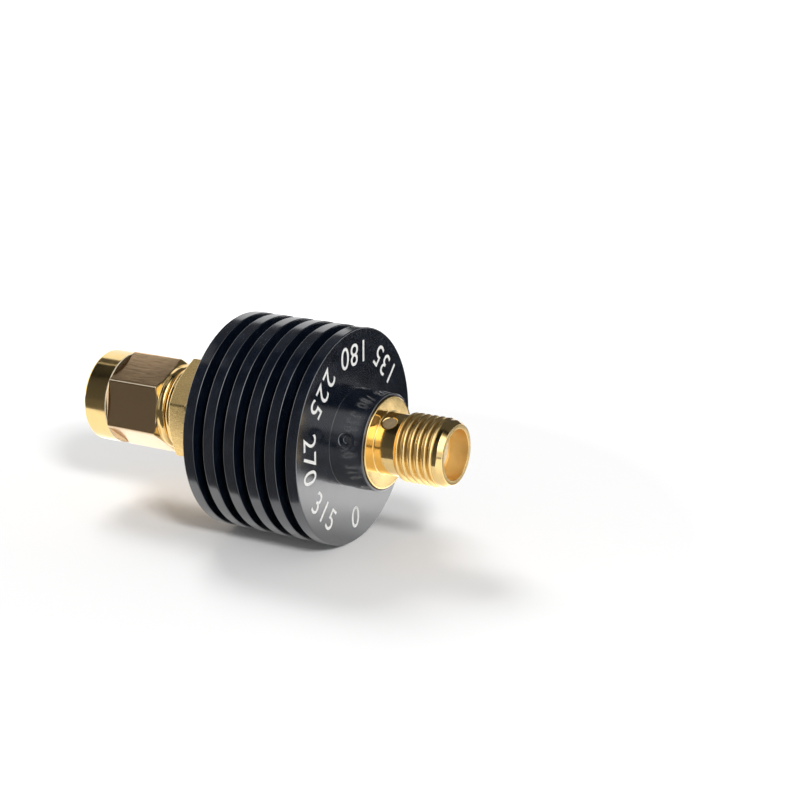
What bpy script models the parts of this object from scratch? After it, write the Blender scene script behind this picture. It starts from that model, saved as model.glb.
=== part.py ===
"""Coaxial fixed attenuator: a male plug with a captive coupling nut, a finned heat sink and a female jack.

Metres, +Z up. The axis of the part is the X axis, with the plug at -X and the jack at +X.
The origin is the middle of the length, on the axis.
"""

import math

import bmesh
import bpy
from mathutils import Matrix, Vector

MM = 0.001

# Clearances
SEAT = 0.05 * MM            # between pieces that touch in the real part
BORE_FIT = 0.05 * MM        # radial, between a piece and the bore that it is pressed or turns in
NUT_FLOAT = 0.15 * MM       # play of the nut along the axis, each way

# Coupling nut
NUT_FLATS = 7.94 * MM
NUT_COLLAR_RADIUS = 4.40 * MM
NUT_COLLAR_LENGTH = 2.74 * MM
NUT_COLLAR_CHAMFER = 0.25 * MM
NUT_HEX_LENGTH = 5.71 * MM
NUT_HEX_CHAMFER_FRONT = 0.50 * MM
NUT_HEX_CHAMFER_REAR = 0.37 * MM
NUT_CORE_SUNK = 0.10 * MM       # turned core below the flats
NUT_LIP_RADIUS = 4.05 * MM
NUT_LIP_LENGTH = 0.80 * MM
NUT_LIP_GROOVE = 0.16 * MM
NUT_TURN = math.radians(-7.6)
NUT_MOUTH_CHAMFER = 0.55 * MM
NUT_RELIEF_RADIUS = 3.35 * MM
NUT_RELIEF_FRONT = 0.35 * MM    # how far the relief reaches in front of the gasket
NUT_RELIEF_REAR = 0.30 * MM     # and behind it

# Thread of the interface, at its minor diameter inside the nut and its major diameter on the jack
THREAD_MAJOR_RADIUS = 3.175 * MM
THREAD_MINOR_RADIUS = 2.85 * MM

# Retaining ring, a split ring half in the nut and half in the plug's barrel
RING_WIDTH = 0.45 * MM
RING_INNER_RADIUS = 2.74 * MM
RING_OUTER_RADIUS = 3.44 * MM
RING_SPLIT = 1.30 * MM
RING_FROM_NUT_REAR = 2.05 * MM

# Plug
PLANE_DEPTH = 2.60 * MM         # reference plane behind the nut's front edge
PIN_REACH = 2.10 * MM           # pin beyond the reference plane
PIN_TIP_RADIUS = 0.46 * MM
PIN_TIP_CHAMFER = 0.20 * MM
FERRULE_RADIUS = 2.29 * MM
FERRULE_CHAMFER = 0.12 * MM
FERRULE_LENGTH = 1.92 * MM      # ferrule in front of the gasket
GASKET_THICK = 0.60 * MM
GASKET_RADIUS = 3.10 * MM
BARREL_RADIUS = 3.05 * MM
NUT_REAR_GAP = 0.25 * MM
SHOULDER_RADIUS = 4.15 * MM
SHOULDER_LENGTH = 0.80 * MM
FLANGE_FLATS = 9.28 * MM
FLANGE_LENGTH = 2.30 * MM
FLANGE_CHAMFER = 0.45 * MM
FLANGE_CHAMFER_REAR = 0.18 * MM
FLANGE_TURN = math.radians(9.2)
CAPTIVE_RADIUS = 0.60 * MM      # hole for the epoxy that holds the plug's pin
CAPTIVE_FROM_BARREL = 0.82 * MM

# Heat sink
FIN_COUNT = 6
FIN_RADIUS = 10.08 * MM
FIN_THICK = 1.12 * MM
FIN_GAP = 1.06 * MM
FIN_EDGE = 0.12 * MM
CORE_RADIUS = 5.60 * MM
REAR_BOSS_RADIUS = 5.00 * MM
REAR_BOSS_LENGTH = 3.14 * MM
FRONT_BOSS_WALL = 0.22 * MM     # round the jack's disc
FRONT_BOSS_LENGTH = 3.40 * MM
BOSS_EDGE = 0.10 * MM

# Four stakes that lock the jack into the front boss
STAKE_COUNT = 4
STAKE_RADIUS = 0.70 * MM
STAKE_FLOOR_RADIUS = 0.38 * MM
STAKE_DEPTH = 0.50 * MM
STAKE_FROM_FRONT = 1.85 * MM
STAKE_NUB_RADIUS = 0.45 * MM
STAKE_NUB_HEIGHT = 0.25 * MM
STAKE_TURN = math.radians(-15.3)

# Jack
DISC_RADIUS = 4.26 * MM
DISC_THICK = 0.72 * MM
DISC_PROUD = 0.16 * MM
DISC_EDGE = 0.08 * MM
NECK_RADIUS = 2.85 * MM
NECK_LENGTH = 2.09 * MM
NECK_CONE_LENGTH = 0.34 * MM
THREAD_LENGTH = 3.50 * MM
LEAD_RADIUS = 3.05 * MM
LEAD_LENGTH = 0.50 * MM
RIM_RADIUS = 2.76 * MM
RIM_CHAMFER_LENGTH = 0.49 * MM
JACK_BORE_RADIUS = 2.34 * MM
JACK_BORE_DEPTH = 1.90 * MM
EPOXY_RADIUS = 0.65 * MM
EPOXY_EDGE = 0.10 * MM
EPOXY_FROM_DISC = 0.88 * MM
EPOXY_SUNK = 0.10 * MM
EPOXY_TURN = math.radians(30.0)

# Stubs of both connectors inside the heat sink
STUB_STEP = 0.86 * MM           # how much smaller a stub's radius is than the jack's disc
STUB_END_FROM_MIDDLE = 4.60 * MM
STUB_LIP = 0.90 * MM            # wall at a stub's inner end that holds the insulator
STUB_LIP_BORE_RADIUS = 1.60 * MM
STAKE_GROOVE_DEPTH = 0.35 * MM
STAKE_GROOVE_WIDTH = 1.20 * MM

# Insulators and centre contacts
INSULATOR_RADIUS = 2.05 * MM
CONTACT_RADIUS = 0.635 * MM
CAPTIVE_GROOVE_RADIUS = 0.36 * MM
SOCKET_RECESS = 0.10 * MM
SOCKET_BORE_RADIUS = 0.46 * MM
SOCKET_BORE_DEPTH = 2.60 * MM
SOCKET_SLOT_WIDTH = 0.20 * MM
SOCKET_SLOT_DEPTH = 2.00 * MM
CONTACT_END_FROM_MIDDLE = 6.00 * MM
SPIGOT_RADIUS = 0.32 * MM
SPIGOT_LENGTH = 1.00 * MM
CHIP_CONTACT_RADIUS = 0.60 * MM
CHIP_CONTACT_GRIP = 0.60 * MM   # how much of the chip each contact holds

# Attenuator chip and the two halves that clamp its grounded edges
CHIP_LENGTH = 6.00 * MM
CHIP_WIDTH = 4.20 * MM
CHIP_THICK = 0.50 * MM
CHIP_CHANNEL_RADIUS = 1.30 * MM
CARRIER_STEP = 0.45 * MM        # how much smaller their radius is than a stub's
CARRIER_SETBACK = 0.10 * MM     # from each stub's end

# Facets around a full turn
FINE_STEPS = 48
STEPS = 36
SMALL_STEPS = 24
HOLE_STEPS = 16

# Stations along the axis, from the nut's front to the jack's rim
FIN_BLOCK_LENGTH = FIN_COUNT * FIN_THICK + (FIN_COUNT - 1) * FIN_GAP
PLUG_LENGTH = (NUT_COLLAR_LENGTH + NUT_HEX_LENGTH + NUT_LIP_LENGTH + NUT_REAR_GAP
               + SHOULDER_LENGTH + FLANGE_LENGTH + SEAT)
SINK_LENGTH = REAR_BOSS_LENGTH + FIN_BLOCK_LENGTH + FRONT_BOSS_LENGTH
JACK_LENGTH = (DISC_PROUD + NECK_LENGTH + NECK_CONE_LENGTH + THREAD_LENGTH
               + LEAD_LENGTH + RIM_CHAMFER_LENGTH)
X_NUT_FRONT = -(PLUG_LENGTH + SINK_LENGTH + JACK_LENGTH) / 2
X_COLLAR_REAR = X_NUT_FRONT + NUT_COLLAR_LENGTH
X_HEX_REAR = X_COLLAR_REAR + NUT_HEX_LENGTH
X_NUT_REAR = X_HEX_REAR + NUT_LIP_LENGTH
X_SHOULDER = X_NUT_REAR + NUT_REAR_GAP
X_FLANGE_FRONT = X_SHOULDER + SHOULDER_LENGTH
X_FLANGE_REAR = X_FLANGE_FRONT + FLANGE_LENGTH
X_SINK_REAR = X_FLANGE_REAR + SEAT
X_BLOCK_REAR = X_SINK_REAR + REAR_BOSS_LENGTH
X_BLOCK_FRONT = X_BLOCK_REAR + FIN_BLOCK_LENGTH
X_BOSS_FRONT = X_BLOCK_FRONT + FRONT_BOSS_LENGTH
X_DISC_FRONT = X_BOSS_FRONT + DISC_PROUD
X_DISC_REAR = X_DISC_FRONT - DISC_THICK
X_NECK_FRONT = X_DISC_FRONT + NECK_LENGTH
X_THREAD_REAR = X_NECK_FRONT + NECK_CONE_LENGTH
X_THREAD_FRONT = X_THREAD_REAR + THREAD_LENGTH
X_LEAD_FRONT = X_THREAD_FRONT + LEAD_LENGTH
X_RIM = X_LEAD_FRONT + RIM_CHAMFER_LENGTH
X_PLANE = X_NUT_FRONT + PLANE_DEPTH
X_GASKET = X_PLANE + FERRULE_LENGTH
X_BARREL = X_GASKET + GASKET_THICK + SEAT
X_RING = X_NUT_REAR - RING_FROM_NUT_REAR
X_MIDDLE = (X_BLOCK_REAR + X_BLOCK_FRONT) / 2
X_JACK_PLANE = X_RIM - JACK_BORE_DEPTH
X_EPOXY = X_DISC_FRONT + EPOXY_FROM_DISC
X_CAPTIVE = X_BARREL + CAPTIVE_FROM_BARREL
X_STAKE = X_BOSS_FRONT - STAKE_FROM_FRONT
BORE_RADIUS = INSULATOR_RADIUS + BORE_FIT
FRONT_BOSS_RADIUS = DISC_RADIUS + BORE_FIT + FRONT_BOSS_WALL
STUB_RADIUS = DISC_RADIUS - STUB_STEP
SINK_BORE_RADIUS = STUB_RADIUS + BORE_FIT
CARRIER_RADIUS = STUB_RADIUS - CARRIER_STEP

TINY = 1e-6
SHARP_ANGLE = math.radians(30)


def clear_scene():
    for item in list(bpy.data.objects):
        bpy.data.objects.remove(item, do_unlink=True)


def collection(name):
    made = bpy.data.collections.new(name)
    bpy.context.scene.collection.children.link(made)
    return made


def material(name, colour, metallic, roughness):
    made = bpy.data.materials.new(name)
    made.use_nodes = True
    shader = made.node_tree.nodes["Principled BSDF"]
    shader.inputs["Base Color"].default_value = (*colour, 1.0)
    shader.inputs["Metallic"].default_value = metallic
    shader.inputs["Roughness"].default_value = roughness
    return made


def settle(group):
    """Applies each piece's modifiers and shades it smooth, with sharp edges where faces turn."""
    bpy.context.view_layer.update()
    graph = bpy.context.evaluated_depsgraph_get()
    meshes = [bpy.data.meshes.new_from_object(item.evaluated_get(graph)) for item in group.objects]
    for item, mesh in zip(group.objects, meshes):
        item.modifiers.clear()
        mesh.name = item.name
        mesh.shade_smooth()
        mesh.set_sharp_from_angle(angle=SHARP_ANGLE)
        item.data = mesh


def along_x(turn=0.0):
    """Lays a piece modelled along Z onto the X axis; turn starts straight down and goes to the back."""
    return Matrix.Rotation(math.pi / 2, 4, "Y") @ Matrix.Rotation(turn, 4, "Z")


def across(x, turn):
    """Stands a piece modelled along Z on the axis at x, pointing outwards at the angle turn."""
    return Matrix.Translation((x, 0, 0)) @ Matrix.Rotation(math.pi + turn, 4, "X")


def add(name, mesh, group, finish, place):
    """Makes the object; a piece gets its material, and a cutter is a hidden wire."""
    item = bpy.data.objects.new(name, mesh)
    group.objects.link(item)
    item.matrix_world = place
    if finish is None:
        item.hide_render = True
        item.display_type = "WIRE"
    else:
        mesh.materials.append(finish)
    return item


def turned(name, profile, group, finish, steps, place=None, closed=True):
    """Turns a profile of (radius, height) points, which goes down the outside and up the bore.

    A solid without a bore is open: its first and last points lie on the axis.
    """
    mesh = bpy.data.meshes.new(name)
    edges = [(i, i + 1) for i in range(len(profile) - 1)]
    if closed:
        edges.append((len(profile) - 1, 0))
    mesh.from_pydata([(radius, 0.0, height) for radius, height in profile], edges, [])
    item = add(name, mesh, group, finish, place if place is not None else along_x(math.pi / steps))
    screw = item.modifiers.new("Turn", "SCREW")
    screw.axis = "Z"
    screw.angle = 2 * math.pi
    screw.steps = steps
    screw.render_steps = steps
    screw.use_merge_vertices = True
    screw.merge_threshold = TINY
    screw.use_smooth_shade = False
    return item


def boolean(item, cutter, operation="DIFFERENCE"):
    step = item.modifiers.new(operation.title(), "BOOLEAN")
    step.operation = operation
    step.solver = "EXACT"
    step.object = cutter


def hexagon(name, flats, low, high, turn, group, finish):
    """A hexagonal bar along X from low to high, with a corner at the angle turn."""
    mesh = bpy.data.meshes.new(name)
    shape = bmesh.new()
    bmesh.ops.create_cone(
        shape, cap_ends=True, segments=6, radius1=flats / math.sqrt(3), radius2=flats / math.sqrt(3),
        depth=high - low, matrix=Matrix.Translation((0, 0, (low + high) / 2)),
    )
    first = max(shape.verts, key=lambda v: v.co.z).co
    lean = math.atan2(first.y, first.x)
    shape.to_mesh(mesh)
    shape.free()
    return add(name, mesh, group, finish, along_x(turn - lean))


def box(name, size, centre, group, turn=0.0):
    """A rectangular cutter, turned about the X axis."""
    mesh = bpy.data.meshes.new(name)
    shape = bmesh.new()
    bmesh.ops.create_cube(shape, size=1.0)
    bmesh.ops.scale(shape, vec=Vector(size), verts=shape.verts)
    shape.to_mesh(mesh)
    shape.free()
    return add(name, mesh, group, None, Matrix.Translation(centre) @ Matrix.Rotation(turn, 4, "X"))


def rod(name, radius, low, high, group, finish=None, steps=STEPS, place=None):
    """A plain solid cylinder from low to high."""
    return turned(name, [(0, high), (radius, high), (radius, low), (0, low)],
                  group, finish, steps, place, closed=False)


def hex_envelope(name, flats, low, high, front, rear, group):
    """A turned solid that gives a hexagonal bar its 30 degree end chamfers."""
    corner = flats / math.sqrt(3) + 0.05 * MM
    slope = math.tan(math.radians(30))
    inner = flats / 2 - 0.20 * MM
    points = [(0, high), (corner - rear / slope, high), (corner, high - rear),
              (corner, low + front), (corner - front / slope, low), (0, low)]
    points = [(max(radius, inner) if 0 < radius else 0, height) for radius, height in points]
    return turned(name, points, group, None, STEPS, closed=False)


def coupling_nut(parts, cutters, gold):
    """A hexagonal bar on a turned core, which has the collar, the rear lip and the stepped bore."""
    nut = hexagon("coupling_nut", NUT_FLATS, X_COLLAR_REAR, X_HEX_REAR, NUT_TURN, parts, gold)
    envelope = hex_envelope("nut_envelope", NUT_FLATS, X_COLLAR_REAR, X_HEX_REAR,
                            NUT_HEX_CHAMFER_FRONT, NUT_HEX_CHAMFER_REAR, cutters)
    core_radius = NUT_FLATS / 2 - NUT_CORE_SUNK
    hollow = rod("nut_hollow", core_radius - NUT_CORE_SUNK, X_COLLAR_REAR - MM, X_HEX_REAR + MM, cutters)
    lip_groove = X_HEX_REAR + NUT_LIP_LENGTH / 2
    ring_groove = RING_WIDTH / 2 + SEAT
    relief_front = X_GASKET - NUT_RELIEF_FRONT
    core = turned("nut_core", [
        (NUT_LIP_RADIUS - NUT_LIP_GROOVE, X_NUT_REAR),
        (NUT_LIP_RADIUS, X_NUT_REAR - NUT_LIP_GROOVE),
        (NUT_LIP_RADIUS, lip_groove + NUT_LIP_GROOVE / 2),
        (NUT_LIP_RADIUS - NUT_LIP_GROOVE, lip_groove),
        (NUT_LIP_RADIUS, lip_groove - NUT_LIP_GROOVE / 2),
        (NUT_LIP_RADIUS, X_HEX_REAR - SEAT),
        (core_radius, X_HEX_REAR - SEAT),
        (core_radius, X_COLLAR_REAR + SEAT),
        (NUT_COLLAR_RADIUS, X_COLLAR_REAR + SEAT),
        (NUT_COLLAR_RADIUS, X_NUT_FRONT + NUT_COLLAR_CHAMFER),
        (NUT_COLLAR_RADIUS - NUT_COLLAR_CHAMFER, X_NUT_FRONT),
        (THREAD_MINOR_RADIUS + NUT_MOUTH_CHAMFER, X_NUT_FRONT),
        (THREAD_MINOR_RADIUS, X_NUT_FRONT + NUT_MOUTH_CHAMFER),
        (THREAD_MINOR_RADIUS, relief_front - (NUT_RELIEF_RADIUS - THREAD_MINOR_RADIUS)),
        (NUT_RELIEF_RADIUS, relief_front),
        (NUT_RELIEF_RADIUS, X_BARREL + NUT_RELIEF_REAR),
        (BARREL_RADIUS + BORE_FIT, X_BARREL + NUT_RELIEF_REAR),
        (BARREL_RADIUS + BORE_FIT, X_RING - ring_groove),
        (RING_OUTER_RADIUS + BORE_FIT, X_RING - ring_groove),
        (RING_OUTER_RADIUS + BORE_FIT, X_RING + ring_groove),
        (BARREL_RADIUS + BORE_FIT, X_RING + ring_groove),
        (BARREL_RADIUS + BORE_FIT, X_NUT_REAR),
    ], cutters, None, STEPS)
    boolean(nut, envelope, "INTERSECT")
    boolean(nut, hollow)
    boolean(nut, core, "UNION")


def nut_retaining_ring(parts, cutters, bronze):
    ring = turned("nut_retaining_ring", [
        (RING_OUTER_RADIUS, X_RING + RING_WIDTH / 2),
        (RING_OUTER_RADIUS, X_RING - RING_WIDTH / 2),
        (RING_INNER_RADIUS, X_RING - RING_WIDTH / 2),
        (RING_INNER_RADIUS, X_RING + RING_WIDTH / 2),
    ], parts, bronze, STEPS)
    reach = 2 * RING_OUTER_RADIUS
    split = box("ring_split", (2 * RING_WIDTH, RING_SPLIT, reach), (X_RING, 0, reach / 2), cutters)
    boolean(ring, split)


def nut_gasket(parts, rubber):
    turned("nut_gasket", [
        (GASKET_RADIUS, X_GASKET + GASKET_THICK),
        (GASKET_RADIUS, X_GASKET),
        (FERRULE_RADIUS + BORE_FIT, X_GASKET),
        (FERRULE_RADIUS + BORE_FIT, X_GASKET + GASKET_THICK),
    ], parts, rubber, STEPS)


def male_body(parts, cutters, gold):
    """A hexagonal flange on a turned stem: ferrule, barrel and shoulder, and a stub in the heat sink."""
    body = hexagon("male_body", FLANGE_FLATS, X_FLANGE_FRONT, X_FLANGE_REAR, FLANGE_TURN, parts, gold)
    envelope = hex_envelope("flange_envelope", FLANGE_FLATS, X_FLANGE_FRONT, X_FLANGE_REAR,
                            FLANGE_CHAMFER, FLANGE_CHAMFER_REAR, cutters)
    hollow = rod("flange_hollow", (STUB_RADIUS + BORE_RADIUS) / 2, X_FLANGE_FRONT - MM, X_FLANGE_REAR + MM,
                 cutters)
    stub_end = X_MIDDLE - STUB_END_FROM_MIDDLE
    ring_groove = RING_WIDTH / 2 + NUT_FLOAT + SEAT
    groove_radius = RING_INNER_RADIUS - BORE_FIT
    stem = turned("male_stem", [
        (STUB_RADIUS, stub_end),
        (STUB_RADIUS, X_FLANGE_FRONT + SEAT),
        (SHOULDER_RADIUS, X_FLANGE_FRONT + SEAT),
        (SHOULDER_RADIUS, X_SHOULDER),
        (BARREL_RADIUS, X_SHOULDER),
        (BARREL_RADIUS, X_RING + ring_groove),
        (groove_radius, X_RING + ring_groove),
        (groove_radius, X_RING - ring_groove),
        (BARREL_RADIUS, X_RING - ring_groove),
        (BARREL_RADIUS, X_BARREL),
        (FERRULE_RADIUS, X_BARREL),
        (FERRULE_RADIUS, X_PLANE + FERRULE_CHAMFER),
        (FERRULE_RADIUS - FERRULE_CHAMFER, X_PLANE),
        (BORE_RADIUS, X_PLANE),
        (BORE_RADIUS, stub_end - STUB_LIP),
        (STUB_LIP_BORE_RADIUS, stub_end - STUB_LIP),
        (STUB_LIP_BORE_RADIUS, stub_end),
    ], cutters, None, STEPS)
    hole = rod("male_captive_hole", CAPTIVE_RADIUS, 0, SHOULDER_RADIUS, cutters,
               steps=HOLE_STEPS, place=across(X_CAPTIVE, EPOXY_TURN))
    boolean(body, envelope, "INTERSECT")
    boolean(body, hollow)
    boolean(body, stem, "UNION")
    boolean(body, hole)


def male_insulator(parts, cutters, ptfe):
    rear = X_MIDDLE - STUB_END_FROM_MIDDLE - STUB_LIP - SEAT
    tube = turned("male_insulator", [
        (INSULATOR_RADIUS, rear),
        (INSULATOR_RADIUS, X_PLANE),
        (CONTACT_RADIUS + BORE_FIT, X_PLANE),
        (CONTACT_RADIUS + BORE_FIT, rear),
    ], parts, ptfe, SMALL_STEPS)
    hole = rod("male_insulator_hole", CAPTIVE_RADIUS, 0, SHOULDER_RADIUS, cutters,
               steps=HOLE_STEPS, place=across(X_CAPTIVE, EPOXY_TURN))
    boolean(tube, hole)


def captive_groove(x, radius):
    """The waist of a centre contact that the epoxy grips, from its rear end to its front end."""
    half = radius + 2 * BORE_FIT
    return [
        (CONTACT_RADIUS, x + half),
        (CAPTIVE_GROOVE_RADIUS, x + half),
        (CAPTIVE_GROOVE_RADIUS, x - half),
        (CONTACT_RADIUS, x - half),
    ]


def male_center_pin(parts, gold):
    rear = X_MIDDLE - CONTACT_END_FROM_MIDDLE
    tip = X_PLANE - PIN_REACH
    turned("male_center_pin", [
        (0, rear + SPIGOT_LENGTH),
        (SPIGOT_RADIUS, rear + SPIGOT_LENGTH),
        (SPIGOT_RADIUS, rear),
        (CONTACT_RADIUS, rear),
        *captive_groove(X_CAPTIVE, CAPTIVE_RADIUS),
        (CONTACT_RADIUS, X_PLANE),
        (PIN_TIP_RADIUS, X_PLANE),
        (PIN_TIP_RADIUS, tip + PIN_TIP_CHAMFER),
        (PIN_TIP_RADIUS - PIN_TIP_CHAMFER, tip),
        (0, tip),
    ], parts, gold, SMALL_STEPS, closed=False)


def epoxy_fill(name, x, radius, reach, turn, both, parts, cutters, epoxy):
    """The cured epoxy in a cross hole, which closes round the waist of the centre contact."""
    fill = rod(name, radius - BORE_FIT, -reach if both else -CAPTIVE_GROOVE_RADIUS, reach,
               parts, epoxy, HOLE_STEPS, across(x, turn))
    waist = rod(name + "_waist", CAPTIVE_GROOVE_RADIUS + BORE_FIT, x - 2 * radius, x + 2 * radius,
                cutters, steps=SMALL_STEPS)
    boolean(fill, waist)


def heat_sink(parts, cutters, anodised):
    """Boss, fins and boss in one turned piece with a stepped bore, then the four stakes."""
    outline = [
        (FRONT_BOSS_RADIUS - BOSS_EDGE, X_BOSS_FRONT),
        (FRONT_BOSS_RADIUS, X_BOSS_FRONT - BOSS_EDGE),
        (FRONT_BOSS_RADIUS, X_BLOCK_FRONT),
    ]
    for fin in range(FIN_COUNT):
        front = X_BLOCK_FRONT - fin * (FIN_THICK + FIN_GAP)
        rear = front - FIN_THICK
        foot_front = [(CORE_RADIUS, front)] if fin else []
        foot_rear = [(CORE_RADIUS, rear)] if fin < FIN_COUNT - 1 else []
        outline += foot_front + [
            (FIN_RADIUS - FIN_EDGE, front),
            (FIN_RADIUS, front - FIN_EDGE),
            (FIN_RADIUS, rear + FIN_EDGE),
            (FIN_RADIUS - FIN_EDGE, rear),
        ] + foot_rear
    middle_front = X_MIDDLE + STUB_END_FROM_MIDDLE + SEAT
    middle_rear = X_MIDDLE - STUB_END_FROM_MIDDLE - SEAT
    disc_seat = X_DISC_REAR - SEAT
    outline += [
        (REAR_BOSS_RADIUS, X_BLOCK_REAR),
        (REAR_BOSS_RADIUS, X_SINK_REAR + BOSS_EDGE),
        (REAR_BOSS_RADIUS - BOSS_EDGE, X_SINK_REAR),
        (SINK_BORE_RADIUS, X_SINK_REAR),
        (SINK_BORE_RADIUS, middle_rear + SEAT),
        (CARRIER_RADIUS + BORE_FIT, middle_rear + SEAT),
        (CARRIER_RADIUS + BORE_FIT, middle_front - SEAT),
        (SINK_BORE_RADIUS, middle_front - SEAT),
        (SINK_BORE_RADIUS, disc_seat),
        (DISC_RADIUS + BORE_FIT, disc_seat),
        (DISC_RADIUS + BORE_FIT, X_BOSS_FRONT),
    ]
    sink = turned("heat_sink", outline, parts, anodised, FINE_STEPS)
    for index in range(STAKE_COUNT):
        turn = STAKE_TURN + index * 2 * math.pi / STAKE_COUNT
        floor = FRONT_BOSS_RADIUS - STAKE_DEPTH
        widen = (STAKE_RADIUS - STAKE_FLOOR_RADIUS) / STAKE_DEPTH
        lift = 0.30 * MM
        nub = turned(f"stake_nub_{index + 1}", [
            (0, SINK_BORE_RADIUS + lift),
            (STAKE_NUB_RADIUS, SINK_BORE_RADIUS + lift),
            (STAKE_NUB_RADIUS, SINK_BORE_RADIUS),
            (STAKE_NUB_RADIUS / 2, SINK_BORE_RADIUS - STAKE_NUB_HEIGHT),
            (0, SINK_BORE_RADIUS - STAKE_NUB_HEIGHT),
        ], cutters, None, HOLE_STEPS, across(X_STAKE, turn), closed=False)
        dimple = turned(f"stake_dimple_{index + 1}", [
            (0, FRONT_BOSS_RADIUS + lift),
            (STAKE_RADIUS + lift * widen, FRONT_BOSS_RADIUS + lift),
            (STAKE_FLOOR_RADIUS, floor),
            (0, floor),
        ], cutters, None, HOLE_STEPS, across(X_STAKE, turn), closed=False)
        boolean(sink, nub, "UNION")
        boolean(sink, dimple)


def female_body(parts, cutters, gold):
    """Disc, neck and threaded barrel of the jack, and its stub in the heat sink."""
    stub_end = X_MIDDLE + STUB_END_FROM_MIDDLE
    groove = STAKE_GROOVE_WIDTH / 2
    body = turned("female_body", [
        (RIM_RADIUS, X_RIM),
        (LEAD_RADIUS, X_LEAD_FRONT),
        (LEAD_RADIUS, X_THREAD_FRONT),
        (THREAD_MAJOR_RADIUS, X_THREAD_FRONT - (THREAD_MAJOR_RADIUS - LEAD_RADIUS)),
        (THREAD_MAJOR_RADIUS, X_THREAD_REAR),
        (NECK_RADIUS, X_NECK_FRONT),
        (NECK_RADIUS, X_DISC_FRONT),
        (DISC_RADIUS - DISC_EDGE, X_DISC_FRONT),
        (DISC_RADIUS, X_DISC_FRONT - DISC_EDGE),
        (DISC_RADIUS, X_DISC_REAR),
        (STUB_RADIUS, X_DISC_REAR),
        (STUB_RADIUS, X_STAKE + groove),
        (STUB_RADIUS - STAKE_GROOVE_DEPTH, X_STAKE + groove),
        (STUB_RADIUS - STAKE_GROOVE_DEPTH, X_STAKE - groove),
        (STUB_RADIUS, X_STAKE - groove),
        (STUB_RADIUS, stub_end),
        (STUB_LIP_BORE_RADIUS, stub_end),
        (STUB_LIP_BORE_RADIUS, stub_end + STUB_LIP),
        (BORE_RADIUS, stub_end + STUB_LIP),
        (BORE_RADIUS, X_JACK_PLANE),
        (JACK_BORE_RADIUS, X_JACK_PLANE),
        (JACK_BORE_RADIUS, X_RIM),
    ], parts, gold, STEPS)
    for side in (1, -1):
        hole = turned(f"female_epoxy_hole_{side}", [
            (0, NECK_RADIUS + MM),
            (EPOXY_RADIUS + EPOXY_EDGE, NECK_RADIUS + MM),
            (EPOXY_RADIUS + EPOXY_EDGE, NECK_RADIUS),
            (EPOXY_RADIUS, NECK_RADIUS - EPOXY_EDGE),
            (EPOXY_RADIUS, 0),
            (0, 0),
        ], cutters, None, HOLE_STEPS, across(X_EPOXY, EPOXY_TURN + (math.pi if side < 0 else 0)), closed=False)
        boolean(body, hole)


def female_insulator(parts, cutters, ptfe):
    rear = X_MIDDLE + STUB_END_FROM_MIDDLE + STUB_LIP + SEAT
    tube = turned("female_insulator", [
        (INSULATOR_RADIUS, X_JACK_PLANE),
        (INSULATOR_RADIUS, rear),
        (CONTACT_RADIUS + BORE_FIT, rear),
        (CONTACT_RADIUS + BORE_FIT, X_JACK_PLANE),
    ], parts, ptfe, SMALL_STEPS)
    hole = rod("female_insulator_hole", EPOXY_RADIUS, -NECK_RADIUS, NECK_RADIUS, cutters,
               steps=HOLE_STEPS, place=across(X_EPOXY, EPOXY_TURN))
    boolean(tube, hole)


def female_contact(parts, cutters, gold):
    """A socket with four fingers at the jack's face and a spigot at its inner end."""
    face = X_JACK_PLANE - SOCKET_RECESS
    rear = X_MIDDLE + CONTACT_END_FROM_MIDDLE
    contact = turned("female_contact", [
        (0, face - SOCKET_BORE_DEPTH),
        (SOCKET_BORE_RADIUS, face - SOCKET_BORE_DEPTH),
        (SOCKET_BORE_RADIUS, face),
        (CONTACT_RADIUS, face),
        *captive_groove(X_EPOXY, EPOXY_RADIUS),
        (CONTACT_RADIUS, rear),
        (SPIGOT_RADIUS, rear),
        (SPIGOT_RADIUS, rear - SPIGOT_LENGTH),
        (0, rear - SPIGOT_LENGTH),
    ], parts, gold, SMALL_STEPS, closed=False)
    for index in range(2):
        slot = box(f"socket_slot_{index + 1}", (2 * SOCKET_SLOT_DEPTH, SOCKET_SLOT_WIDTH, 4 * CONTACT_RADIUS),
                   (face, 0, 0), cutters, math.pi / 4 + index * math.pi / 2)
        boolean(contact, slot)


def chip_contact(name, side, parts, cutters, gold):
    """A sleeve that plugs onto a centre contact's spigot and grips the end of the chip in its slot."""
    outer = CONTACT_END_FROM_MIDDLE - SEAT
    socket_end = outer - SPIGOT_LENGTH - SEAT
    slot_end = CHIP_LENGTH / 2 + SEAT
    inner = CHIP_LENGTH / 2 - CHIP_CONTACT_GRIP
    profile = [
        (CHIP_CONTACT_RADIUS, outer),
        (CHIP_CONTACT_RADIUS, inner),
        (0, inner),
        (0, socket_end),
        (SPIGOT_RADIUS + BORE_FIT, socket_end),
        (SPIGOT_RADIUS + BORE_FIT, outer),
    ]
    loop = profile[3:] + profile[:3]
    place = Matrix.Translation((X_MIDDLE, 0, 0)) @ Matrix.Rotation(side * math.pi / 2, 4, "Y")
    sleeve = turned(name, loop, parts, gold, SMALL_STEPS, place, closed=False)
    slot = box(name + "_slot", (2 * CHIP_CONTACT_GRIP + 2 * SEAT, 4 * CONTACT_RADIUS, CHIP_THICK + 2 * SEAT),
               (X_MIDDLE + side * (slot_end - CHIP_CONTACT_GRIP - SEAT), 0, 0), cutters)
    boolean(sleeve, slot)


def attenuator_chip(parts, alumina):
    mesh = bpy.data.meshes.new("attenuator_chip")
    shape = bmesh.new()
    bmesh.ops.create_cube(shape, size=1.0)
    bmesh.ops.scale(shape, vec=Vector((CHIP_LENGTH, CHIP_WIDTH, CHIP_THICK)), verts=shape.verts)
    shape.to_mesh(mesh)
    shape.free()
    add("attenuator_chip", mesh, parts, alumina, Matrix.Translation((X_MIDDLE, 0, 0)))


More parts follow.
